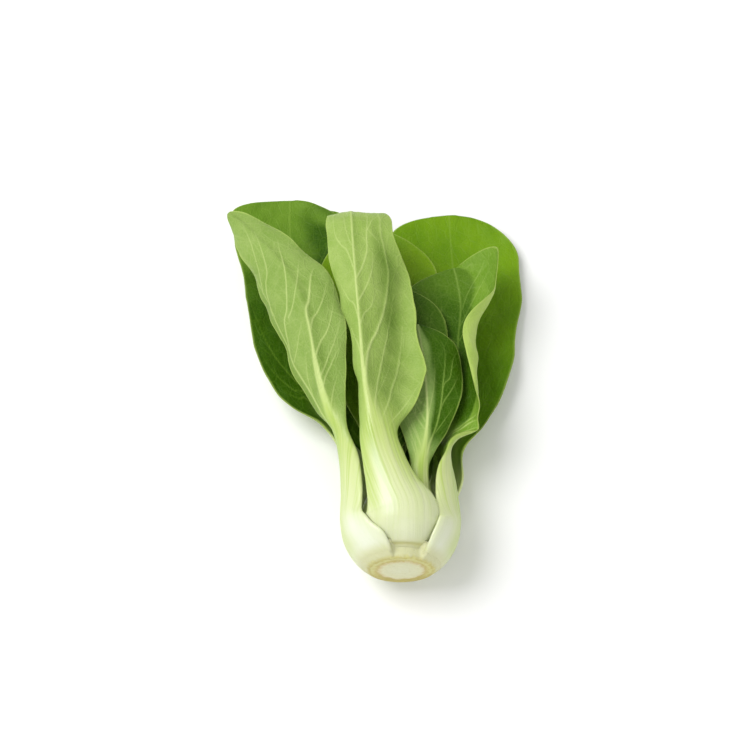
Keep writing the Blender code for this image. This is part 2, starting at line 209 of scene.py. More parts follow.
LEAVES = {
    "front": dict(
        stout=1.0, neck=3, tip=(12, 12), wave=0.7,
        foot=bulb(89, (23.2, 27.4), 19.0, (29.5, 27.5, 27, 31.5, 36.5), (34, 38, 40, 39, 38)),
        stations=[
            at(-4.2, 34, 54.6, 90, (15.4, 15), (62, 62)),
            at(-9.0, 48, 53.6, 90, (12, 13), (66, 60)),
            at(-12.0, 60, 52.8, 90, (10, 13), (68, 50)),
            at(-13.8, 68, 53.2, 90, (9.5, 19.5), (78, 55), (0, -60)),
            at(-16.6, 83, 54.5, 90, (10.5, 27.5), (98, 95), (0, -140)),
            at(-19.0, 110, 56.8, 90, (11.5, 27), (100, 105), (0, -150)),
            at(-21.2, 138, 57.8, 90, (12.5, 27.2), (54, 70), (0, -60)),
            at(-22.6, 158, 57.0, 90, (13, 19.8), (34, 18)),
            at(-23.2, 170, 53.6, 90, (12.4, 18.6), (28, 8)),
            at(-23.4, 175.5, 48.0, 90, (11, 15.6), (24, 6)),
            at(-23.0, 178, 40.0, 90, (9, 13), (24, 6)),
        ]),
    "left": dict(
        stout=1.0, neck=3, tip=(30, 30), wave=0.8,
        foot=bulb(176, (27, 27), 26.5, (45.4, 45.4, 45.4, 45, 43), (72, 70, 65, 53, 46)),
        stations=[
            at(-27.3, 38, 31.5, 174, (13, 17.5), (40, 54)),
            at(-28.0, 53, 34.0, 168, (9.5, 13.2), (50, 56)),
            at(-29.8, 65, 37.5, 150, (7, 7), (50, 50)),
            at(-33.5, 75, 41.5, 122, (10, 9), (40, 25)),
            at(-39.0, 97, 46.5, 104, (16, 14.6), (45, 20)),
            at(-43.0, 116, 49.5, 98, (19.5, 17.8), (58, 22)),
            at(-48.0, 132, 50.5, 98, (22, 18), (62, 25)),
            at(-56.0, 147, 48.5, 100, (19, 14), (62, 25)),
            at(-66.5, 161.5, 44.5, 102, (14, 11), (56, 20)),
            at(-77.5, 175.5, 39.5, 104, (9.5, 8), (48, 15)),
            at(-82.0, 181, 37.0, 104, (8, 7), (40, 10)),
        ]),
    "right": dict(
        stout=1.0, neck=3, tip=(8, 14), wave=0.8,
        foot=bulb(6, (27, 27), 26.5, (48, 48, 47, 44, 42), (48.4, 48.4, 48.4, 46, 40)),
        stations=[
            at(25.2, 34, 32.4, 15, (15.5, 12), (54, 42)),
            at(23.4, 48, 32.2, 8, (11.5, 8.5), (52, 50)),
            at(21.6, 57.5, 29.8, -30, (8, 6.5), (44, 45)),
            at(21.2, 64.5, 27.6, -64, (15, 10), (8, 20)),
            at(21.9, 73.5, 26.8, -75, (18.5, 13.5), (16, 18), (36, 0)),
            at(23.2, 84, 26.4, -80, (24, 18), (40, 15), (85, 0)),
            at(26.0, 102, 25.5, -84, (28, 22), (125, 12), (50, 0)),
            at(27.2, 120, 24.5, -86, (26, 24), (150, 10), (12, 0)),
            at(28.4, 138, 24.0, -88, (24, 25), (60, 10), (26, 0), -22),
            at(27.0, 151, 23.5, -88, (27, 24), (50, 8), (26, 0), -38),
            at(25.6, 158, 23.0, -88, (25, 22), (48, 8), (20, 0), -46),
        ]),
    "back": dict(
        stout=1.0, neck=3, tip=(40, 40), wave=0.5,
        foot=bulb(268, (27, 27), 26.5, (48.4, 48.4, 48.4, 47, 43), (45.4, 45.4, 45.4, 45, 43)),
        stations=[
            at(-1.0, 36, -0.4, 268, (16, 16), (38, 38)),
            at(-2.0, 50, 1.4, 268, (16, 13), (32, 32)),
            at(-4.0, 64, 2.8, 268, (22, 11), (20, 24)),
            at(-7.0, 76, 3.2, 270, (26, 18), (8, 8)),
            at(-13.0, 100, 2.5, 270, (24, 24), (0, 0)),
            at(-20.0, 130, 1.3, 270, (28, 28), (-4, -4)),
            at(-28.0, 160, 0.9, 270, (28, 28), (-5, -5)),
            at(-34.0, 184, 0.9, 270, (25, 25), (-5, -5)),
            at(-38.0, 203, 1.2, 270, (21, 21), (-2, -2)),
        ]),
    "back_left": dict(
        stout=0.95, neck=3, tip=(26, 9), wave=0.8,
        foot=bulb(220, (23.0, 21.4), 15.5, (36, 38, 38, 36, 33)),
        stations=[
            at(-17.0, 38, 12.0, 220, (9.5, 9.5), (48, 48)),
            at(-21.5, 58, 11.0, 228, (8.5, 8.5), (45, 45)),
            at(-33.0, 80, 11.0, 240, (6.5, 6.5), (45, 45)),
            at(-38.0, 90, 11.5, 255, (13, 14), (20, 20)),
            at(-44.0, 106, 11.5, 262, (21, 20), (20, 14)),
            at(-48.5, 130, 11.0, 266, (27, 23), (24, 12)),
            at(-51.5, 158, 10.0, 268, (29, 24), (20, 12)),
            at(-53.5, 184, 10.0, 268, (31, 28), (16, 12)),
            at(-54.0, 203, 11.5, 268, (28, 29), (14, 12)),
        ]),
    "back_right": dict(
        stout=0.95, neck=3, tip=(28, 12), wave=0.8,
        foot=bulb(318, (23.0, 21.2), 15.5, (35, 36, 35, 31, 27), (36, 38, 38, 36, 33)),
        stations=[
            at(20.0, 37, 10.0, 314, (8, 11.5), (48, 48)),
            at(25.0, 50, 11.0, 310, (8, 13), (45, 40)),
            at(25.6, 66, 10.5, 298, (6.5, 11), (45, 40)),
            at(27.0, 77, 9.5, 285, (13, 13), (20, 20)),
            at(28.0, 98, 7.0, 275, (22, 22), (14, 10)),
            at(28.0, 126, 4.5, 271, (28, 26), (12, 8)),
            at(27.0, 153, 2.8, 270, (32, 29), (12, 8)),
            at(25.5, 178, 2.6, 270, (32, 30), (12, 8)),
            at(24.5, 199, 4.4, 270, (28, 28), (10, 8)),
        ]),
    "inner_right": dict(
        stout=0.75, neck=2, tip=(16, 16), wave=0.6,
        foot=bulb(50, (19.2, 20.4), 14.5, (30, 33, 34, 34, 33)),
        stations=[
            at(9.6, 36, 41.0, 60, (8, 7.5), (50, 50)),
            at(8.9, 46, 41.8, 72, (5.5, 5), (45, 45)),
            at(10.2, 56, 41.8, 82, (8.5, 6.5), (25, 30)),
            at(11.6, 69, 41.2, 88, (13.5, 11.5), (20, 22)),
            at(11.4, 86, 40.4, 92, (15, 17.5), (20, 28)),
            at(10.2, 101, 39.8, 92, (15, 19), (20, 34)),
            at(8.6, 114, 39.0, 92, (14, 16), (20, 30)),
            at(7.8, 120, 38.4, 92, (12, 13), (20, 25)),
        ]),
    "inner_left": dict(
        stout=0.75, neck=2, tip=(16, 16), wave=0.6,
        foot=bulb(132, (19.2, 20.4), 14.5, (30, 33, 34, 34, 33)),
        stations=[
            at(-10.5, 37, 40.2, 124, (9, 9), (50, 50)),
            at(-8.5, 51, 39.6, 112, (6, 6), (45, 45)),
            at(-6.5, 64, 37.6, 100, (10, 10), (25, 25)),
            at(-3.5, 82, 35.0, 92, (16, 17), (16, 16)),
            at(-0.5, 100, 33.8, 90, (18, 20), (14, 14)),
            at(1.0, 118, 33.0, 90, (18, 21), (14, 14)),
            at(1.0, 134, 32.6, 90, (17, 19), (14, 14)),
            at(1.0, 142, 32.2, 90, (15, 16), (14, 14)),
        ]),
    "inner_back": dict(
        stout=0.85, neck=2, tip=(30, 30), wave=0.6,
        foot=bulb(266, (19.0, 17.2), 13.5, (26, 25, 25, 26, 26)),
        stations=[
            at(-2.5, 40, 11.5, 266, (8, 8), (50, 50)),
            at(-5.0, 60, 14.0, 268, (6.5, 6.5), (45, 45)),
            at(-7.0, 74, 15.5, 269, (12, 12), (22, 22)),
            at(-9.5, 100, 17.5, 270, (20, 20), (12, 12)),
            at(-12.0, 128, 18.0, 270, (29, 25), (10, 10)),
            at(-13.5, 154, 17.5, 270, (32, 26), (10, 10)),
            at(-14.0, 172, 17.0, 270, (28, 24), (10, 10)),
            at(-14.0, 183, 17.0, 270, (22, 20), (10, 10)),
        ]),
    "heart_left": dict(
        stout=0.55, neck=1, tip=(12, 12), wave=0.3,
        foot=bulb(185, (14.8, 12.6), 8.6, (30, 32, 34, 36, 36)),
        stations=[
            at(-9.0, 35, 27.5, 180, (6, 6), (45, 45)),
            at(-6.0, 48, 28.0, 165, (5, 5), (40, 40)),
            at(-4.5, 58, 28.0, 150, (8, 8), (40, 40)),
            at(-3.5, 70, 27.8, 140, (9, 9), (35, 35)),
            at(-3.0, 80, 27.5, 135, (7, 7), (30, 30)),
        ]),
    "heart_right": dict(
        stout=0.55, neck=1, tip=(12, 12), wave=0.3,
        foot=bulb(5, (14.8, 12.6), 8.6, (30, 32, 34, 36, 36)),
        stations=[
            at(9.0, 33, 26.0, 2, (6, 6), (45, 45)),
            at(6.5, 44, 25.5, -5, (4.5, 4.5), (40, 40)),
            at(5.5, 53, 25.0, -15, (7, 7), (40, 40)),
            at(5.0, 62, 24.5, -20, (7, 7), (35, 35)),
            at(5.0, 69, 24.0, -20, (5, 5), (30, 30)),
        ]),
}

PALE_VEIN = (196, 212, 136)
DIM_VEIN = (140, 172, 70)
# The veins' green where the painted shade lies on a leaf.
PAINTED_SHADE_VEIN = (116, 152, 44)
RIM_GREEN = (176, 198, 100)
INSECT_MARK = (70, 72, 30)
FOOT_PALE = (212, 216, 184)
FOOT_STAIN = (192, 190, 128)
GROOVE_TAN = (180, 176, 98)
# The near-white of a painted highlight, laid on the stalks where a lamp would glint.
PAINTED_HIGHLIGHT_WHITE = (226, 230, 214)
# The inner face's green near a stalk's neck: partly its own greener face, mostly painted shade deep
# in the head.
NECK_GREEN_AND_SHADE = (78, 112, 22)
RING_LOW = (170, 152, 66)
CUT_SPECK = (172, 156, 98)
SKIN_LOW = (168, 158, 78)

# Colours along a stalk from foot to neck, and over the cut from its middle to its rim.
STALK_RAMP = (
    (0.0, FOOT_PALE), (0.38, (211, 219, 170)), (0.72, (202, 213, 148)), (1.0, (184, 201, 118)),
)
CUT_RAMP = (
    (0.0, (212, 214, 180)), (0.62, (211, 211, 172)), (0.72, (204, 194, 146)),
    (0.79, (188, 174, 104)), (0.88, (198, 193, 124)), (0.95, (201, 200, 134)),
    (1.0, (186, 178, 104)),
)

# What a darker patch keeps of each channel.
TONE_DIM = (0.84, 0.89, 0.74)
MOTTLE_DIM = (0.90, 0.94, 0.84)
STREAK_DIM = (0.80, 0.88, 0.54)
BROAD_DIM = (0.86, 0.93, 0.68)
# Painted shade at a stalk's sides keeps this much of each channel.
PAINTED_EDGE_SHADE_DIM = (0.83, 0.91, 0.55)

# How each leaf is finished: its material slot, its grid as rows and the columns of one half,
# and its colours as seen on a screen: the outer face, the inner face and the painted shade's
# green that one of them takes where it lies in shade.
LOOKS = {
    "front": ("outer_leaf", (320, 58), (152, 177, 92), (88, 124, 34), (82, 112, 30)),
    "left": ("outer_leaf", (320, 58), (137, 163, 83), (88, 124, 34), (82, 112, 30)),
    "right": ("inner_leaf", (300, 56), (180, 204, 106), (112, 150, 40), (54, 92, 0)),
    "back": ("inner_leaf", (200, 30), (138, 164, 80), (96, 132, 30), (60, 96, 8)),
    "back_left": ("inner_leaf", (250, 42), (138, 164, 80), (106, 142, 40), (50, 87, 0)),
    "back_right": ("inner_leaf", (240, 42), (140, 168, 70), (110, 150, 14), (84, 124, 8)),
    "inner_right": ("outer_leaf", (200, 44), (140, 171, 90), (86, 124, 30), (55, 92, 0)),
    # The inner left leaf is darker all over, partly as painted shade where it lies under the leaves
    # above it.
    "inner_left": ("outer_leaf", (160, 30), (112, 140, 66), (80, 116, 28), (62, 96, 14)),
    "inner_back": ("inner_leaf", (170, 30), (130, 158, 70), (120, 158, 20), (92, 128, 10)),
    "heart_left": ("outer_leaf", (60, 14), (130, 158, 70), (88, 126, 30), (62, 98, 8)),
}
LOOKS["heart_right"] = LOOKS["heart_left"]
for leaf_name, finish in LOOKS.items():
    LEAVES[leaf_name].update(zip(("slot", "grid", "outer", "inner", "painted_shade"), finish))

# The inner face's veins, where they are paler than on the other leaves.
INNER_VEIN = {"right": (186, 210, 118)}

# The veins that show best. Each runs through a few places, given as hundredths of the blade's
# length and of its half-width. Then come its width at both ends in millimetres and its strength.
VEINS = {
    "front": [
        ([(8, 0), (26, 7), (33, 18), (38, 33), (45, 47), (63, 62), (95, 72)], 1.7, 1.0, 1.0),
        ([(62, -4), (70, -23), (74, -48), (80, -65), (94, -72)], 0.8, 0.5, 0.7),
        ([(58, 0), (65, 17), (72, 30), (78, 35), (95, 42)], 0.9, 0.6, 0.8),
        ([(79, 37), (86, 55)], 0.6, 0.4, 0.6),
        ([(80, 37), (73, 62)], 0.6, 0.4, 0.6),
        ([(49, 1), (52, 9), (58, 23), (64, 33), (71, 40)], 0.9, 0.5, 0.8),
        ([(39, 1), (43, 7), (48, 25), (55, 38)], 0.8, 0.4, 0.7),
        ([(0, 3), (10, 14), (20, 28), (35, 50), (42, 60), (54, 68)], 1.3, 0.5, 0.9),
        ([(-6, 15), (3, 28), (10, 45), (25, 66), (42, 82)], 1.3, 0.5, 0.9),
        ([(-7, 35), (1, 56), (5, 74), (10, 86), (17, 95)], 1.1, 0.4, 0.8),
        ([(12, 17), (22, 46), (30, 60)], 0.6, 0.3, 0.5),
        ([(42, -2), (46, -9), (51, -40), (59, -75)], 0.8, 0.4, 0.7),
        ([(24, 0), (30, -8), (36, -34), (44, -86)], 0.8, 0.4, 0.6),
        ([(72, -2), (80, -22), (92, -32)], 0.6, 0.4, 0.5),
    ],
    "left": [
        ([(-4, -6), (22, -8), (32, 0), (43, 2), (48, 17), (54, 38), (59, 74)], 2.0, 0.6, 1.0),
        ([(2, -25), (12, -58), (22, -72), (37, -86), (57, -80), (71, -88), (84, -92)],
         1.6, 0.5, 0.9),
        ([(33, -82), (43, -63), (48, -42), (59, -13), (68, 15), (76, 60)], 1.0, 0.4, 0.8),
        ([(50, -85), (61, -72), (68, -43), (77, -15), (85, 15)], 0.9, 0.4, 0.7),
        ([(63, -84), (72, -64), (82, -30), (91, 0)], 0.8, 0.4, 0.6),
        ([(45, -44), (49, -22), (54, -2), (60, 27), (65, 64)], 0.8, 0.4, 0.7),
        ([(37, 2), (40, 10), (44, 35), (48, 57), (53, 80)], 1.0, 0.4, 0.8),
        ([(25, -5), (32, 20), (36, 45), (41, 65), (48, 88)], 1.0, 0.4, 0.8),
        ([(18, -8), (26, 37), (33, 67), (41, 90)], 0.9, 0.4, 0.7),
        ([(12, -6), (19, 18), (24, 47), (31, 86)], 0.9, 0.4, 0.7),
        ([(2, -2), (12, 34), (20, 68)], 0.8, 0.4, 0.6),
        ([(28, -78), (33, -50), (38, -30), (42, -10)], 0.7, 0.35, 0.6),
        ([(14, -62), (24, -42), (30, -24)], 0.7, 0.35, 0.5),
    ],
    "back_left": [
        ([(0, 6), (12, 15), (22, 40), (36, 70), (52, 90)], 1.3, 0.5, 0.9),
        ([(0, 12), (11, 20), (18, 58), (27, 83), (36, 95)], 1.2, 0.4, 0.9),
        ([(0, 20), (10, 30), (14, 62), (19, 86)], 1.0, 0.4, 0.8),
        ([(2, 3), (14, 8), (26, 22), (45, 42), (62, 62)], 1.0, 0.4, 0.7),
    ],
    "right": [
        ([(59, 24), (70, 34), (87, 36)], 0.7, 0.4, 0.6),
        ([(2, -10), (8, -16), (12, -35), (18, -90)], 1.2, 0.8, 1.7),
        ([(2, -14), (7, -20), (11, -40), (15, -95)], 1.2, 0.8, 1.7),
        ([(1, -20), (5, -34), (9, -62), (11, -95)], 1.2, 0.8, 1.7),
        ([(0, -28), (4, -52), (7, -90)], 1.2, 0.8, 1.7),
        ([(76, -2), (84, -14), (92, -40), (96, -75)], 0.6, 0.35, 0.7),
        ([(68, -2), (78, -20), (86, -42), (92, -72)], 0.6, 0.35, 0.7),
        ([(60, -3), (70, -22), (78, -48), (85, -80)], 0.6, 0.35, 0.7),
    ],
    "inner_right": [
        ([(2, 20), (15, 32), (32, 42), (59, 45), (70, 52), (87, 63)], 1.3, 0.5, 1.0),
        ([(50, 42), (56, 46), (62, 63), (72, 73), (79, 88)], 0.7, 0.4, 0.8),
        ([(34, 40), (41, 45), (53, 67), (65, 88)], 0.8, 0.4, 0.8),
        ([(22, 36), (30, 58), (42, 84)], 0.7, 0.4, 0.7),
        ([(25, 2), (37, 6), (52, 18), (77, 28)], 0.8, 0.4, 0.6),
        ([(10, -8), (22, -36), (38, -60)], 0.7, 0.4, 0.6),
        ([(30, -4), (42, -30), (60, -55)], 0.7, 0.4, 0.6),
    ],
}

# Side veins of the other leaves: where each starts on the midrib and how far along it ends.
FAN = ((-0.05, 0.26), (0.0, 0.42), (0.10, 0.50), (0.24, 0.62), (0.40, 0.76), (0.58, 0.88))


def run_lengths(stations):
    """Distance along the leaf at each station."""
    steps = np.linalg.norm(np.diff(stations[:, :3], axis=0), axis=1)
    return np.concatenate([[0.0], np.cumsum(steps)])


def through(lengths, stations, places):
    """A smooth curve through all station values, read at the given distances."""
    slopes = np.gradient(stations, lengths, axis=0, edge_order=2)
    k = np.clip(np.searchsorted(lengths, places, side="right") - 1, 0, len(lengths) - 2)
    span = (lengths[k + 1] - lengths[k])[:, None]
    t = ((places - lengths[k])[:, None]) / span
    start = (2 * t**3 - 3 * t**2 + 1) * stations[k] + (t**3 - 2 * t**2 + t) * span * slopes[k]
    return start + (3 * t**2 - 2 * t**3) * stations[k + 1] + (t**3 - t**2) * span * slopes[k + 1]


def unit(rows):
    return rows / np.linalg.norm(rows, axis=1)[:, None]


def frames(values, tangents):
    """The outer normal and the sideways direction of each section."""
    face = np.radians(values[:, 3])
    normal = np.stack([np.cos(face), np.zeros_like(face), np.sin(face)], axis=1)
    normal -= np.sum(normal * tangents, axis=1)[:, None] * tangents
    normal = unit(normal)
    return normal, np.cross(tangents, normal)


def side_curve(bend, flare, columns):
    """One half of a section, for a half-width of 1: how far out, how far in, and its slope."""
    u = np.linspace(0.0, 1.0, BEND_STEPS)
    slope = np.radians(bend[:, None] * u + flare[:, None] * u**3)
    step = u[1]
    out = np.cumsum((np.cos(slope[:, 1:]) + np.cos(slope[:, :-1])) * step / 2, axis=1)
    inward = np.cumsum((np.sin(slope[:, 1:]) + np.sin(slope[:, :-1])) * step / 2, axis=1)
    zero = np.zeros((len(bend), 1))
    tables = [np.hstack([zero, out]), np.hstack([zero, inward]), slope]
    return [np.array([np.interp(columns, u, row) for row in table]) for table in tables]


def depths(places, across, width, neck, length, stout):
    """How deep the outer and the inner face lie below the midrib's crest."""
    blade = smooth(neck - NECK_LEAD, neck + NECK_BLEND, places)[:, None]
    along = np.clip((places - neck) / (length - neck), 0.0, 1.0)[:, None]
    thick = FOOT_THICK + (STALK_THICK - FOOT_THICK) * smooth(0.0, SWELL, places)
    thick += (NECK_THICK - STALK_THICK) * smooth(THINNING * neck, neck, places)
    thick = stout * thick[:, None]
    stalk = STALK_RIM + (thick - STALK_RIM) * (1.0 - across**2)
    height = stout * RIB_HEIGHT * (1.0 - along) ** RIB_TAPER + RIB_END_HEIGHT
    half = stout * RIB_HALF * (1.0 - along) ** RIB_SIDE_TAPER + RIB_END_HALF
    ridge = np.exp(-(np.abs(across) * width / half) ** 2)
    lip = np.clip(1.0 - (1.0 - across) * width / LIP_REACH, 0.0, 1.0)
    drop = LIP_DROP * (1.0 - np.sqrt(1.0 - LIP_ROUND * lip**2))
    outer = blade * height * (1.0 - ridge) + (1.0 - blade) * drop
    thin = BLADE_THICK + (RIM_THICK - BLADE_THICK) * smooth(0.75, 1.0, across)
    return outer, (1.0 - blade) * stalk + blade * (height + thin)


def tip_taper(places, length, reach):
    """How one side of a leaf narrows over the last stretch before its tip."""
    end = np.clip((places - (length - reach)) / reach, 0.0, 1.0)
    return np.sqrt(1.0 - (TIP_KEEP * end) ** TIP_POWER)


def soft_noise(first, second, size, rng, count=9):
    """A smooth random field over two coordinates, about -1 to 1, with hills of the given size."""
    total = np.zeros(np.broadcast(first, second).shape)
    for _ in range(count):
        turn, phase = rng.uniform(0.0, 2 * math.pi, 2)
        pace = 2 * math.pi / (size * rng.uniform(0.7, 1.6))
        total += np.sin(pace * (math.cos(turn) * first + math.sin(turn) * second) + phase)
    return total / math.sqrt(count)


def layered(first, second, layers, rng, base=0.0):
    """A few layers of soft noise laid on a base, each as its share and size."""
    for share, size in layers:
        base = base + share * soft_noise(first, second, size, rng)
    return base


def curve_points(points, count=26):
    """A smooth line through a few points, as many short steps."""
    points = np.array(points, dtype=float)
    if len(points) == 2:
        points = np.array([points[0], points.mean(axis=0), points[1]])
    lengths = np.concatenate([[0.0], np.cumsum(np.linalg.norm(np.diff(points, axis=0), axis=1))])
    return through(lengths, points, np.linspace(0.0, lengths[-1], count))


def fan_veins(side, rng):
    """Veins of one side that rise from the midrib and bend along the margin."""
    veins = []
    for start, finish in FAN:
        start += rng.uniform(-0.012, 0.012)
        finish += rng.uniform(-0.03, 0.03)
        far = rng.uniform(0.80, 0.92) - 0.22 * max(start, 0.0)
        line = []
        for t in np.linspace(0.0, 1.0, 6):
            place = start + (finish - start) * (0.5 * t + 0.5 * t**2)
            line.append((place, side * (0.02 + far * t**0.85)))
        veins.append((line, 0.95 - 0.5 * max(start, 0.0), 0.35, 0.6))
        for t in (0.4, 0.68):
            t += rng.uniform(-0.06, 0.06)
            v, u = [np.interp(t, np.linspace(0, 1, 6), [p[i] for p in line]) for i in (0, 1)]
            rise = rng.uniform(0.09, 0.14)
            bend = (v + 0.5 * rise, u + side * 0.02)
            veins.append(([(v, u), bend, (v + rise, u + side * 0.07)], 0.5, 0.3, 0.4))
    return veins


def small_veins(main, rng):
    """Short branches that leave the main veins at a slant, on either side."""
    veins = []
    for line, _, _, strength in main:
        line = curve_points(line)
        for k in range(4, 24, 5):
            k += int(rng.integers(-1, 2))
            step = line[k + 1] - line[k]
            turn = rng.choice((-1.0, 1.0))
            end = line[k] + (0.035 + abs(step[0]) * 2.0, turn * rng.uniform(0.10, 0.20))
            bend = (line[k] + end) / 2 + (0.012, -turn * 0.02)
            veins.append(([line[k], bend, end], 0.45, 0.25, 0.18 * strength))
    return veins


def leaf_veins(name, rng):
    """All veins of a leaf: the listed ones, or a fan on each side without them, and branches."""
    main = [(np.array(line) / 100, *rest) for line, *rest in VEINS.get(name, ())]
    if name not in ("front", "left"):
        for side in ((-1,) if name in ("back_left", "inner_right") else (-1, 1)):
            main += fan_veins(side, rng) if name != "right" or side == 1 else []
    return main + small_veins(main, rng)


def near_lines(veins, along, across, neck, length, widths):
    """Colour and relief of the veins at every point of a leaf's grid."""
    paint = np.zeros_like(along)
    relief = np.zeros_like(along)
    shares = np.linspace(-0.35, 1.0, 80)
    halves = [np.interp(neck + shares * (length - neck), along[:, 0], width) for width in widths]
    for line, first, last, strength in veins:
        line = curve_points(line)
        s = neck + line[:, 0] * (length - neck)
        minus, plus = [np.interp(line[:, 0], shares, half) for half in halves]
        w = line[:, 1] * np.where(line[:, 1] < 0.0, minus, plus)
        margin = VEIN_MARGIN * max(first, last)
        rows = (along[:, 0] > s.min() - margin) & (along[:, 0] < s.max() + margin)
        columns = across[rows].max(axis=0) > w.min() - margin
        columns &= across[rows].min(axis=0) < w.max() + margin
        if not rows.any() or not columns.any():
            continue
        near = np.ix_(rows, columns)
        x, y = along[near], across[near]
        best = np.full(x.shape, 1e9)
        taper = np.zeros(x.shape)
        for k in range(len(s) - 1):
            ds, dw = s[k + 1] - s[k], w[k + 1] - w[k]
            t = np.clip(((x - s[k]) * ds + (y - w[k]) * dw) / (ds * ds + dw * dw + 1e-9), 0.0, 1.0)
            gap = np.hypot(x - s[k] - t * ds, y - w[k] - t * dw)
            closer = gap < best
            best = np.where(closer, gap, best)
            taper = np.where(closer, (k + t) / (len(s) - 1), taper)
        half = 0.5 * VEIN_WIDTH * (first + (last - first) * taper)
        fade = VEIN_STRENGTH * strength * (1.0 - VEIN_FADE * smooth(0.6, 1.0, taper))
        shown = fade * np.exp(-(best / (VEIN_SPREAD * half)) ** 2)
        raised = VEIN_HEIGHT * half * fade * np.exp(-(best / (RELIEF_SPREAD * half)) ** 2)
        paint[near] = np.maximum(paint[near], shown)
        relief[near] = np.maximum(relief[near], raised)
    return paint, relief


def midrib(along, across, neck, length, stout, fades):
    """The pale midrib, broad at the neck and a line from a third of the way up."""
    share = (along - neck) / (length - neck)
    half = 0.45 + 3.4 * stout * np.exp(-np.maximum(share, 0.0) / 0.11)
    line = np.exp(-(across / half) ** 4) * (1.0 - 0.45 * smooth(0.35, 1.0, share))
    return line * (1.0 - fades * smooth(0.25, 0.5, share))


def painted_shade_of(name, v, u):
    """How far one face takes its painted shade at each place, where less light reaches it, the
    outer face first.
    """
    # Every mask here is painted shade: a face darkens where it lies under other leaves, in a hollow
    # or deep in the head.
    none = np.zeros_like(v)
    if name == "front":
        # The front blade: painted shade in the hollow of its plus half, and low on that side.
        hollow = np.exp(-((u - 0.62) / 0.2) ** 2) * smooth(0.22, 0.42, v)
        hollow *= 1.0 - smooth(0.66, 0.86, v)
        low = 0.35 * smooth(0.1, 0.4, u) * (1.0 - smooth(0.6, 0.82, u))
        return np.maximum(0.7 * hollow, low * (1.0 - smooth(0.18, 0.4, v))), none
    if name == "left":
        return 0.35 * smooth(0.5, 0.95, -u) * (1.0 - smooth(0.5, 0.8, v)), none
    if name == "right":
        # The right leaf: painted shade over its inner face beyond a slanting edge, lighter towards
        # the tip.
        edge = -0.26 - 0.45 * np.exp(-((v - 0.36) / 0.2) ** 2)
        painted_shade = smooth(edge - 0.07, edge + 0.07, u) * smooth(0.06, 0.2, v)
        return none, painted_shade * (1.0 - 0.4 * smooth(0.6, 0.95, v))
    if name == "back_left":
        # The back-left leaf: painted shade low on its inner face and on its minus side, under the
        # leaves above it.
        beside = smooth(0.1, 0.5, -u) * (1.0 - smooth(0.86, 1.0, v))
        return none, np.maximum(1.0 - smooth(0.5, 0.9, v), beside)
    if name == "back_right":
        return none, 1.0 - smooth(0.25, 0.7, v)
    if name == "inner_right":
        return smooth(0.10, 0.30, u) * smooth(0.05, 0.30, v), none
    if name == "inner_left":
        return smooth(-0.3, 0.3, u), none
    if name == "inner_back":
        return none, 0.7 * (1.0 - smooth(0.4, 0.9, v))
    # The other leaves: painted shade low on the inner face, deep in the head.
    return none, 1.0 - smooth(0.2, 0.8, v)


def painted_highlight_lobe(off, spread, along, end):
    """A painted highlight on the swell of a stalk's foot, that fades out between two places."""
    return np.exp(-(off / spread) ** 2) * smooth(1.0, 7.0, along) * (1.0 - smooth(*end, along))


def stalk_painted_light(name, along, u, climb):
    """Where a stalk takes a greener, darker painted shade towards its sides, and where a painted
    highlight makes it whiter.
    """
    none = np.zeros_like(u)
    if name == "front":
        # Painted shade, greener and darker, on the front stalk's plus side and its minus edge.
        green = smooth(0.3, 0.85, u) * smooth(0.25, 0.6, climb)
        green += 0.6 * smooth(0.6, 0.95, -u) * smooth(0.3, 0.6, climb)
        # A painted highlight: a glossy band down the front stalk, left of its middle.
        painted_highlight = 0.6 * np.exp(-((u + 0.28) / 0.17) ** 2) * smooth(0.15, 0.4, climb)
        return np.minimum(green, 1.0), painted_highlight * (1.0 - smooth(0.7, 1.0, climb))
    if name == "left":
        lobe = painted_highlight_lobe(u - 0.62, 0.3, along, (15.0, 30.0))
        # Painted shade over the left stalk's minus half.
        return (1.0 - smooth(0.05, 0.5, u)) * smooth(0.0, 0.2, climb), lobe
    if name == "right":
        lobe = painted_highlight_lobe(u + 0.7, 0.25, along, (13.0, 26.0))
        # Painted shade over the right stalk's plus half.
        return (1.0 - smooth(0.1, 0.6, -u)) * smooth(0.0, 0.2, climb), 0.7 * lobe
    return none, none


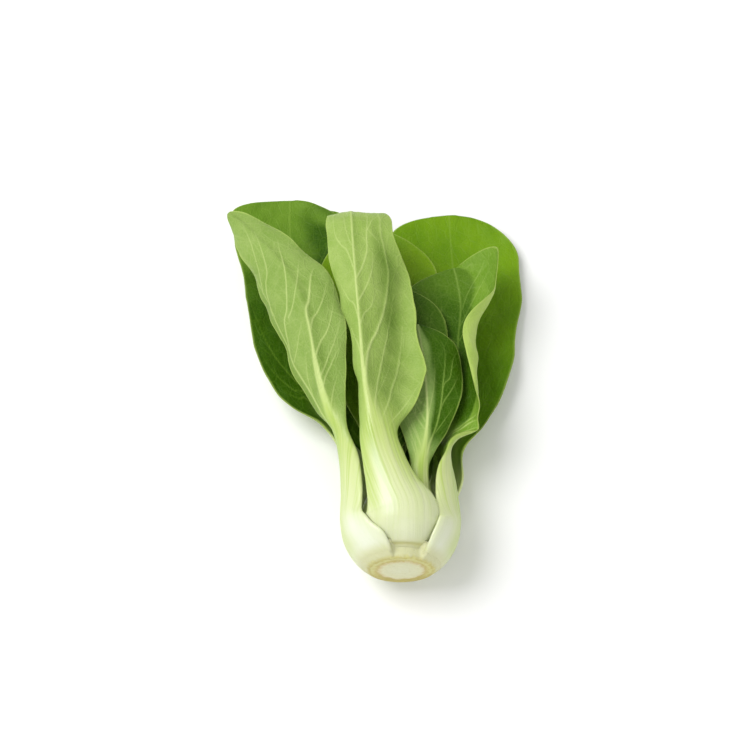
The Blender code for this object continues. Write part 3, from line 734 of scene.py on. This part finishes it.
def leaf_sheet(name, leaf, seed):
    """Both faces of a leaf as grids of points, with what its material reads at each point."""
    rng = np.random.default_rng(100 + seed)
    stations = np.array(leaf["foot"] + leaf["stations"], dtype=float)
    lengths = run_lengths(stations)
    neck = lengths[len(leaf["foot"]) + leaf["neck"] - 1]
    length = lengths[-1]
    rows, half_columns = leaf["grid"]
    share = np.linspace(0.0, 1.0, rows)
    share = (1.0 - TIP_CROWD) * share + TIP_CROWD * np.sin(share * math.pi / 2)
    places = length * share
    values = through(lengths, stations, places)
    window = 0.05 + np.minimum(np.minimum(places, length - places), TURN_WINDOW)
    ahead = through(lengths, stations, np.minimum(places + window, length))
    behind = through(lengths, stations, np.maximum(places - window, 0.0))
    tangents = unit(ahead[:, :3] - behind[:, :3])
    normal, sideways = frames(values, tangents)
    tilt = np.radians(values[:, 10])[:, None, None]
    drop = np.cos(tilt) * normal[:, None] + np.sin(tilt) * tangents[:, None]
    axis = np.cos(tilt) * tangents[:, None] - np.sin(tilt) * normal[:, None]
    phases = np.random.default_rng(seed).uniform(0.0, 2 * math.pi, 2)

    columns = np.linspace(0.0, 1.0, half_columns + 1)
    widths, curves = [], []
    tuck = 1.0 + (TUCK - 1.0) * (name == "front") * (1.0 - smooth(*TUCK_END, places))
    for side in (0, 1):
        uneven = layered(places, 0.0 * places, UNEVEN, rng)
        uneven = 1.0 + uneven * smooth(neck, neck + WAVE_START, places)
        width = values[:, 4 + side] * tip_taper(places, length, leaf["tip"][side])
        widths.append(width * uneven * tuck)
        curves.append(side_curve(values[:, 6 + side] * tuck, values[:, 8 + side], columns))

    across = np.hstack([-(widths[0][:, None] * columns)[:, :0:-1], widths[1][:, None] * columns])
    along = np.repeat(places[:, None], across.shape[1], axis=1)
    sided = np.concatenate([-columns[:0:-1], columns])[None, :].repeat(rows, axis=0)
    u_all = np.abs(sided)
    low_edge = neck - EDGE_LEAD + EDGE_RISE * (1.0 - u_all)
    blend = EDGE_BLEND[0] + EDGE_BLEND[1] * (1.0 - u_all)
    blade = smooth(0.0, 1.0, (along - low_edge) / blend)
    paint, relief = near_lines(leaf_veins(name, rng), along, across, neck, length, widths)
    rib = midrib(along, across, neck, length, leaf["stout"], 1.0 if name == "left" else 0.0)
    paint = np.maximum(paint, rib)
    pucker = layered(PUCKER_STRETCH * along, across, PUCKER, rng)
    pucker *= blade * smooth(0.04, 0.3, u_all) * (1.0 - 0.6 * paint)
    fluting = (1.0 - blade) * layered(along * FLUTING_STRETCH, across, FLUTING, rng)
    fluting *= smooth(10.0, 34.0, along)
    groove = np.exp(-((along - COLLAR) / GROOVE_WIDTH) ** 2)
    outer_add = pucker + relief * blade + fluting
    inner_add = pucker + 0.5 * relief * blade
    if name == "front":
        outer_add -= COLLAR_DEPTH * (1.0 - smooth(COLLAR - 1.4, COLLAR + 2.0, along))
        outer_add -= GROOVE_DEPTH * groove
    elif name in ("left", "right", "back"):
        outer_add -= FOOT_SINK * (1.0 - smooth(0.0, FOOT_SINK_END, along))

    outer, inner = [], []
    for side, sign in ((0, -1.0), (1, 1.0)):
        u = columns[None, :]
        width = widths[side][:, None]
        out, inward, slope = curves[side]
        ripple = leaf["wave"] * smooth(neck, neck + WAVE_START, places)[:, None] * u**3
        ripple = ripple * np.sin(places[:, None] / WAVE_RADIAN + phases[side])
        lean = np.cos(slope)[..., None] * drop + sign * np.sin(slope)[..., None] * sideways[:, None]
        lean = np.cos(tilt) * lean - np.sin(tilt) * axis
        base = values[:, None, :3] + sign * (out * width)[..., None] * sideways[:, None]
        base = base - (inward * width)[..., None] * drop
        low, deep = depths(places, u, width, neck, length, leaf["stout"])
        half = (slice(half_columns, None, -1), slice(half_columns, None))[side]
        outer.append(base + (ripple - low + outer_add[:, half])[..., None] * lean)
        inner.append(base + (ripple - deep + inner_add[:, half])[..., None] * lean)
    outer, inner = [np.concatenate([face[0][:, :0:-1], face[1]], axis=1) for face in (outer, inner)]
    for face in (outer, inner):
        face[..., 2] = np.maximum(face[..., 2], FLOOR_CLEAR)
    reach = np.maximum(np.abs(across).max(axis=1), 4.0)[:, None]
    v_all = (along - neck) / (length - neck)
    marks = {
        "vein": paint,
        "blade": blade,
        "rim": smooth(1.0 - 0.9 / reach, 1.0 - 0.2 / reach, u_all) * blade,
        "climb": np.clip(along / neck, 0.0, 1.0),
        "tone": layered(along, across, TONE, rng, 0.5),
        "foot": 1.0 - smooth(0.5, 7.0, along),
        "groove": groove if name == "front" else 0.0 * along,
    }
    # Painted shade at the stalks' sides, and painted highlight on them.
    marks["painted_edge_shade"], marks["painted_highlight"] = stalk_painted_light(name, along, sided, marks["climb"])
    # Where each face takes its painted shade, with soft edges.
    drift = layered(along, across, DRIFT, rng)
    marks["shade"] = painted_shade_of(name, v_all + drift, sided + drift)
    return outer, inner, marks, np.stack([across, along], axis=-1)


def sheet_faces(rows, columns):
    """Quads of a closed sheet: both faces, then its four rims."""
    r, c = np.meshgrid(np.arange(rows - 1), np.arange(columns - 1), indexing="ij")
    a = (r * columns + c).ravel()
    back = rows * columns
    front = np.stack([a, a + 1, a + columns + 1, a + columns], axis=1)
    behind = back + front[:, ::-1]
    rim = list(range(columns - 1))
    rim += [k * columns + columns - 1 for k in range(rows - 1)]
    rim += [(rows - 1) * columns + k for k in range(columns - 1, 0, -1)]
    rim += [k * columns for k in range(rows - 1, 0, -1)]
    rim = np.array(rim)
    after = np.roll(rim, -1)
    wall = np.stack([rim, back + rim, back + after, after], axis=1)
    return np.concatenate([front, behind, wall]).tolist()


def add_mesh(name, points, faces, material, marks, flat):
    mesh = bpy.data.meshes.new(name)
    mesh.from_pydata((points * MM).tolist(), [], faces)
    for mark, value in marks.items():
        layer = mesh.attributes.new(mark, "FLOAT", "POINT")
        layer.data.foreach_set("value", np.asarray(value, dtype=np.float32).ravel())
    layer = mesh.attributes.new("flat", "FLOAT_VECTOR", "POINT")
    layer.data.foreach_set("vector", np.asarray(flat, dtype=np.float32).ravel())
    mesh.materials.append(material)
    mesh.shade_smooth()
    mesh.update()
    piece = bpy.data.objects.new(name, mesh)
    bpy.context.scene.collection.objects.link(piece)
    return piece


def colour(red, green, blue):
    """A colour as seen on a screen, 0 to 255, as the linear values that shaders take."""
    linear = []
    for value in (red, green, blue):
        value /= 255.0
        linear.append(value / 12.92 if value <= 0.04045 else ((value + 0.055) / 1.055) ** 2.4)
    return (*linear, 1.0)


class Graph:
    """A short way to write a material's nodes."""

    def __init__(self, name):
        self.material = bpy.data.materials.new(name)
        self.material.use_nodes = True
        self.tree = self.material.node_tree
        self.shader = self.tree.nodes["Principled BSDF"]

    def put(self, socket, value):
        if isinstance(value, bpy.types.NodeSocket):
            self.tree.links.new(value, socket)
        else:
            socket.default_value = value

    def new(self, kind):
        return self.tree.nodes.new(f"ShaderNode{kind}")

    def mark(self, name):
        node = self.new("Attribute")
        node.attribute_name = name
        return node.outputs["Vector"] if name == "flat" else node.outputs["Fac"]

    def maths(self, operation, first, second=0.0):
        node = self.new("Math")
        node.operation = operation
        self.put(node.inputs[0], first)
        self.put(node.inputs[1], second)
        return node.outputs[0]

    def times(self, first, second):
        return self.maths("MULTIPLY", first, second)

    def ranged(self, value, low, high, first=0.0, last=1.0):
        node = self.new("MapRange")
        node.interpolation_type = "SMOOTHSTEP"
        for socket, number in zip(node.inputs, (value, low, high, first, last)):
            self.put(socket, number)
        return node.outputs[0]

    def mix(self, share, first, second, blend="MIX"):
        node = self.new("Mix")
        node.data_type = "RGBA"
        node.blend_type = blend
        self.put(node.inputs[0], share)
        self.put(node.inputs[6], first)
        self.put(node.inputs[7], second)
        return node.outputs[2]

    def dim(self, share, shade, factor):
        """The shade darkened by a factor for each channel, where share is high."""
        return self.mix(share, shade, self.mix(1.0, shade, (*factor, 1.0), "MULTIPLY"))

    def ramp(self, value, stops):
        node = self.new("ValToRGB")
        elements = node.color_ramp.elements
        while len(elements) < len(stops):
            elements.new(0.5)
        for element, (place, shade) in zip(elements, stops):
            element.position = place
            element.color = colour(*shade)
        self.put(node.inputs[0], value)
        return node.outputs["Color"]

    def scaled(self, scale):
        """The surface laid flat, in millimetres, stretched by scale."""
        node = self.new("Mapping")
        self.put(node.inputs["Vector"], self.mark("flat"))
        node.inputs["Scale"].default_value = scale
        return node.outputs[0]

    def noise(self, scale, detail=2.0, roughness=0.5):
        node = self.new("TexNoise")
        self.put(node.inputs["Vector"], self.scaled(scale))
        node.inputs["Scale"].default_value = 1.0
        node.inputs["Detail"].default_value = detail
        node.inputs["Roughness"].default_value = roughness
        return node.outputs["Fac"]

    def cells(self, scale, feature="DISTANCE_TO_EDGE"):
        """A net of cells: the distance to its nearest wall, or to the nearest middle."""
        node = self.new("TexVoronoi")
        node.feature = feature
        self.put(node.inputs["Vector"], self.scaled(scale))
        node.inputs["Scale"].default_value = 1.0
        return node.outputs["Distance"]

    def soften(self, radius, scale):
        """How far light spreads under the surface, for each channel."""
        self.shader.inputs["Subsurface Radius"].default_value = radius
        self.shader.inputs["Subsurface Scale"].default_value = scale

    def bump(self, height, distance, below=None):
        node = self.new("Bump")
        node.inputs["Strength"].default_value = 1.0
        node.inputs["Distance"].default_value = distance
        self.put(node.inputs["Height"], height)
        if below is not None:
            self.put(node.inputs["Normal"], below)
        return node.outputs[0]


def blade_colour(g, name, leaf, net, grain):
    """The green of both faces, with its painted shade, mottle, net of fine veins, large veins and
    pale rim.
    """
    inside, shade = g.mark("inside"), g.mark("shade")
    green = g.mix(inside, colour(*leaf["outer"]), colour(*leaf["inner"]))
    # Painted shade: each face turns to its shaded green where the shade mark is high, and its veins
    # darken too.
    green = g.mix(shade, green, colour(*leaf["painted_shade"]))
    vein_green = g.mix(inside, colour(*PALE_VEIN), colour(*INNER_VEIN.get(name, DIM_VEIN)))
    vein_green = g.mix(g.times(shade, 0.8), vein_green, colour(*PAINTED_SHADE_VEIN))
    mottle = g.noise((0.16, 0.11, 1.0))
    green = g.dim(g.ranged(g.mark("tone"), 0.1, 0.9), green, TONE_DIM)
    green = g.dim(g.ranged(mottle, 0.35, 0.7), green, MOTTLE_DIM)
    green = g.mix(g.times(net, 0.09), green, vein_green)
    green = g.mix(g.ranged(grain, 0.35, 0.75, 0.0, 0.10), green, vein_green)
    strength = g.ranged(inside, 0.0, 1.0, 0.95, 0.6)
    green = g.mix(g.times(g.mark("vein"), strength), green, vein_green)
    specks = g.ranged(g.cells((0.055, 0.045, 1.0), "F1"), 0.010, 0.018, 0.55, 0.0)
    green = g.mix(specks, green, colour(*INSECT_MARK))
    return g.mix(g.times(g.mark("rim"), 0.5), green, colour(*RIM_GREEN))


def stalk_colour(g, streaks):
    """Pale from the foot to the neck, with yellow-green streaks that fade on the bulb, painted
    shade at its sides and deep inside, and a painted highlight.
    """
    climb = g.mark("climb")
    pale = g.ramp(climb, STALK_RAMP)
    share = g.times(g.ranged(streaks, 0.46, 0.66), g.ranged(climb, 0.15, 0.75, 0.16, 1.0))
    pale = g.dim(share, pale, STREAK_DIM)
    broad = g.noise((0.22, 0.008, 1.0), detail=1.0)
    share = g.times(g.ranged(broad, 0.4, 0.65), g.ranged(climb, 0.15, 0.85, 0.25, 0.9))
    pale = g.dim(share, pale, BROAD_DIM)
    # Painted shade: greener and darker towards a stalk's sides.
    pale = g.dim(g.times(g.mark("painted_edge_shade"), 0.9), pale, PAINTED_EDGE_SHADE_DIM)
    # Painted highlight on the stalks.
    pale = g.mix(g.times(g.mark("painted_highlight"), 0.7), pale, colour(*PAINTED_HIGHLIGHT_WHITE))
    # Painted shade deep in the head, with the neck's own greener inner face: each stalk's inner
    # face turns dark green towards its neck.
    deep = g.times(g.mark("inside"), g.ranged(climb, 0.5, 0.95, 0.0, 0.85))
    pale = g.mix(deep, pale, colour(*NECK_GREEN_AND_SHADE))
    pale = g.mix(g.times(g.mark("foot"), 0.5), pale, colour(*FOOT_STAIN))
    return g.mix(g.times(g.mark("groove"), 0.55), pale, colour(*GROOVE_TAN))


def leaf_material(name, leaf):
    """A leaf from its pale stalk to its green blade, both faces, with their fine relief."""
    g = Graph(f"{name}_leaf")
    blade = g.mark("blade")
    net = g.ranged(g.cells((0.48, 0.36, 1.0)), 0.0, 0.12, 1.0, 0.0)
    wide_net = g.ranged(g.cells((0.17, 0.12, 1.0)), 0.0, 0.07, 1.0, 0.0)
    net = g.maths("MAXIMUM", g.times(net, 0.6), wide_net)
    grain = g.noise((1.1, 1.1, 1.0))
    streaks = g.noise((0.62, 0.010, 1.0), detail=3.0, roughness=0.6)
    shade = g.mix(blade, stalk_colour(g, streaks), blade_colour(g, name, leaf, net, grain))
    g.put(g.shader.inputs["Base Color"], shade)
    ridge = g.times(g.times(net, blade), g.ranged(g.mark("inside"), 0.0, 1.0, 1.0, -1.0))
    normal = g.bump(ridge, 0.00012)
    normal = g.bump(g.times(streaks, g.ranged(blade, 0.0, 1.0, 1.0, 0.0)), 0.0003, normal)
    normal = g.bump(grain, 0.00005, normal)
    g.put(g.shader.inputs["Normal"], normal)
    g.put(g.shader.inputs["Roughness"], g.ranged(blade, 0.0, 1.0, 0.30, 0.42))
    g.put(g.shader.inputs["Specular IOR Level"], g.ranged(blade, 0.0, 1.0, 0.5, 0.08))
    g.put(g.shader.inputs["Subsurface Weight"], g.ranged(blade, 0.0, 1.0, 0.25, 0.06))
    g.soften((0.9, 1.0, 0.6), 0.0022)
    return g.material


def cut_material():
    """The pale core of the cut, a tan ring round it, and the skin where the stalks grow from it."""
    g = Graph("cut_root")
    ring, low = g.mark("ring"), g.mark("low")
    grain = g.noise((0.5, 0.5, 0.5), detail=4.0, roughness=0.6)
    specks = g.noise((1.6, 1.6, 1.6))
    wobble = g.maths("ADD", ring, g.ranged(grain, 0.25, 0.75, -0.05, 0.05))
    face = g.ramp(wobble, CUT_RAMP)
    face = g.mix(g.times(low, g.ranged(wobble, 0.70, 0.84, 0.0, 0.7)), face, colour(*RING_LOW))
    face = g.mix(g.ranged(specks, 0.55, 0.75, 0.0, 0.22), face, colour(*CUT_SPECK))
    skin = g.mix(0.5, colour(*FOOT_PALE), colour(*FOOT_STAIN))
    skin = g.mix(g.times(low, 0.6), skin, colour(*SKIN_LOW))
    spread = g.maths("ADD", g.mark("skin"), g.ranged(grain, 0.3, 0.7, -0.16, 0.16))
    g.put(g.shader.inputs["Base Color"], g.mix(g.ranged(spread, 0.15, 0.85), face, skin))
    g.put(g.shader.inputs["Normal"], g.bump(grain, 0.0005, g.bump(specks, 0.0002)))
    g.shader.inputs["Roughness"].default_value = 0.5
    g.shader.inputs["Specular IOR Level"].default_value = 0.35
    g.shader.inputs["Subsurface Weight"].default_value = 0.2
    g.soften((1.0, 0.9, 0.6), 0.002)
    return g.material


def add_leaf(name, leaf, seed, shift):
    outer, inner, marks, flat = leaf_sheet(name, leaf, seed)
    points = np.concatenate([outer.reshape(-1, 3), inner.reshape(-1, 3)]) + shift
    # The painted shade of the outer and of the inner face.
    painted_shades = marks.pop("shade")
    both = {mark: np.concatenate([value.ravel(), value.ravel()]) for mark, value in marks.items()}
    both["shade"] = np.concatenate([painted_shades[0].ravel(), painted_shades[1].ravel()])
    count = outer.shape[0] * outer.shape[1]
    both["inside"] = np.concatenate([np.zeros(count), np.ones(count)])
    apart = np.full((*flat.shape[:2], 1), LEAF_APART * seed)
    side = np.concatenate([flat, apart], axis=-1).reshape(-1, 3)
    laid = np.concatenate([side, side + (0.0, 0.0, FACE_APART)])
    faces = sheet_faces(*outer.shape[:2])
    piece = add_mesh(f"{name}_leaf", points, faces, leaf_material(name, leaf), both, laid)
    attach(piece, "root")
    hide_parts(f"{name}_stalk", f"{name}_blade")


def add_cut(shift):
    """The cut face, a little uneven, the skin round it and the cone inside the stalks."""
    sectors = CUT_SECTORS
    turn = np.linspace(0.0, 2 * math.pi, sectors, endpoint=False)
    degrees = np.degrees(turn)
    front = smooth(*LEDGE_SECTOR[:2], degrees) * (1.0 - smooth(*LEDGE_SECTOR[2:], degrees))
    points, ring, skin, low = [], [], [], []
    for share in np.linspace(0.03, 1.0, CUT_RINGS):
        uneven = 1.0 + 0.012 * np.sin(3 * turn + 1.0) + 0.008 * np.sin(7 * turn)
        radius = share * FACE_RADIUS * uneven
        x, z = radius * np.cos(turn), radius * np.sin(turn)
        hollow = np.exp(-((share - 0.82) / 0.07) ** 2)
        bulge = 0.3 * (1 - smooth(0.55, 0.9, share)) - 0.15 * hollow
        bulge = bulge - 0.1 * smooth(0.93, 1.0, share)
        rough = sum(height * soft_noise(x, z, size, np.random.default_rng(seed))
                    for height, size, seed in CUT_ROUGH)
        y = CUT_Y + 0.1 - bulge - rough * smooth(0.0, 0.3, share)
        points.append(np.stack([x, y, z], axis=1))
        middle = 1.0 - share
        off = np.hypot(x - CORE_OFF[0] * middle, z - CORE_OFF[1] * middle)
        ring.append(off / FACE_RADIUS)
        skin.append(np.zeros(sectors))
        low.append(smooth(0.0, LOW_SIDE, -z))
    rows = [np.array(side) + front[:, None] * (np.array(ledge) - np.array(side))
            for side, ledge in zip(SIDE_SKIN, LEDGE)]
    rows += [np.repeat([end], sectors, axis=0) for end in CUT_END]
    for k, row in enumerate(rows):
        radius, y = row[:, 0], row[:, 1]
        points.append(np.stack([radius * np.cos(turn), y, radius * np.sin(turn)], axis=1))
        ring.append(np.ones(sectors))
        skin.append(np.full(sectors, SKIN_SHARE[min(k, len(SKIN_SHARE) - 1)]))
        low.append(smooth(0.0, LOW_SIDE, -radius * np.sin(turn)))
    points = np.concatenate(points) + BULB_CENTRE * (1, 0, 1)
    faces = [tuple(range(sectors))]
    for r in range(len(ring) - 1):
        for k in range(sectors):
            a, b = r * sectors + k, r * sectors + (k + 1) % sectors
            faces.append((a + sectors, b + sectors, b, a))
    faces.append(tuple(range(len(points) - 1, len(points) - 1 - sectors, -1)))
    marks = {"ring": ring, "skin": skin, "low": low}
    marks = {mark: np.concatenate(value) for mark, value in marks.items()}
    piece = add_mesh("cut_root_end", points + shift, faces, cut_material(), marks, points)
    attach(piece, "root")
    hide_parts("root_stub")


def add_floor():
    mesh = bpy.data.meshes.new("floor")
    half = FLOOR_HALF
    corners = [(-half, -half, 0), (half, -half, 0), (half, half, 0), (-half, half, 0)]
    mesh.from_pydata(corners, [], [(0, 1, 2, 3)])
    material = bpy.data.materials.new("floor")
    material.use_nodes = True
    shader = material.node_tree.nodes["Principled BSDF"]
    shader.inputs["Base Color"].default_value = FLOOR_WHITE
    shader.inputs["Roughness"].default_value = 0.6
    shader.inputs["Specular IOR Level"].default_value = 0.0
    mesh.materials.append(material)
    floor = bpy.data.objects.new("floor", mesh)
    bpy.context.scene.collection.objects.link(floor)


def add_light(name, place, aim, size, power):
    data = bpy.data.lights.new(name, "AREA")
    data.shape = "DISK"
    data.size = size
    data.energy = power
    lamp = bpy.data.objects.new(name, data)
    bpy.context.scene.collection.objects.link(lamp)
    lamp.location = place
    lamp.rotation_euler = (Vector(aim) - Vector(place)).to_track_quat("-Z", "Y").to_euler()


def add_studio():
    world = bpy.data.worlds.new("studio")
    bpy.context.scene.world = world
    world.use_nodes = True
    world.node_tree.nodes["Background"].inputs[0].default_value = (1.0, 1.0, 1.0, 1.0)
    world.node_tree.nodes["Background"].inputs[1].default_value = WORLD_STRENGTH
    bpy.context.scene.view_settings.view_transform = "Standard"
    for name, place, size, power in LAMPS:
        add_light(name, place, LAMP_AIM, size, power)


def add_camera(shift):
    """Looks down on the head at the slant that shows it as it stood upright."""
    back = np.array([0.0, -math.cos(CAMERA_SLANT), math.sin(CAMERA_SLANT)])
    place = CAMERA_TARGET + CAMERA_REACH * back
    data = bpy.data.cameras.new("camera")
    data.sensor_width = SENSOR_WIDTH
    data.lens = data.sensor_width * FOCAL_PIXELS / IMAGE_PIXELS
    data.clip_start = CLIP_START
    camera = bpy.data.objects.new("camera", data)
    bpy.context.scene.collection.objects.link(camera)
    camera.location = (place + shift) * MM
    camera.rotation_euler = (math.pi / 2 - CAMERA_SLANT, 0.0, 0.0)
    bpy.context.scene.camera = camera


def main():
    low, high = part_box("root_stub")
    shift = np.array([(low.x + high.x) / 2 / MM - BULB_CENTRE[0], low.y / MM - CUT_Y, 0.0])
    for seed, (name, leaf) in enumerate(LEAVES.items()):
        add_leaf(name, leaf, seed, shift)
    add_cut(shift)
    add_floor()
    add_studio()
    add_camera(shift)


main()
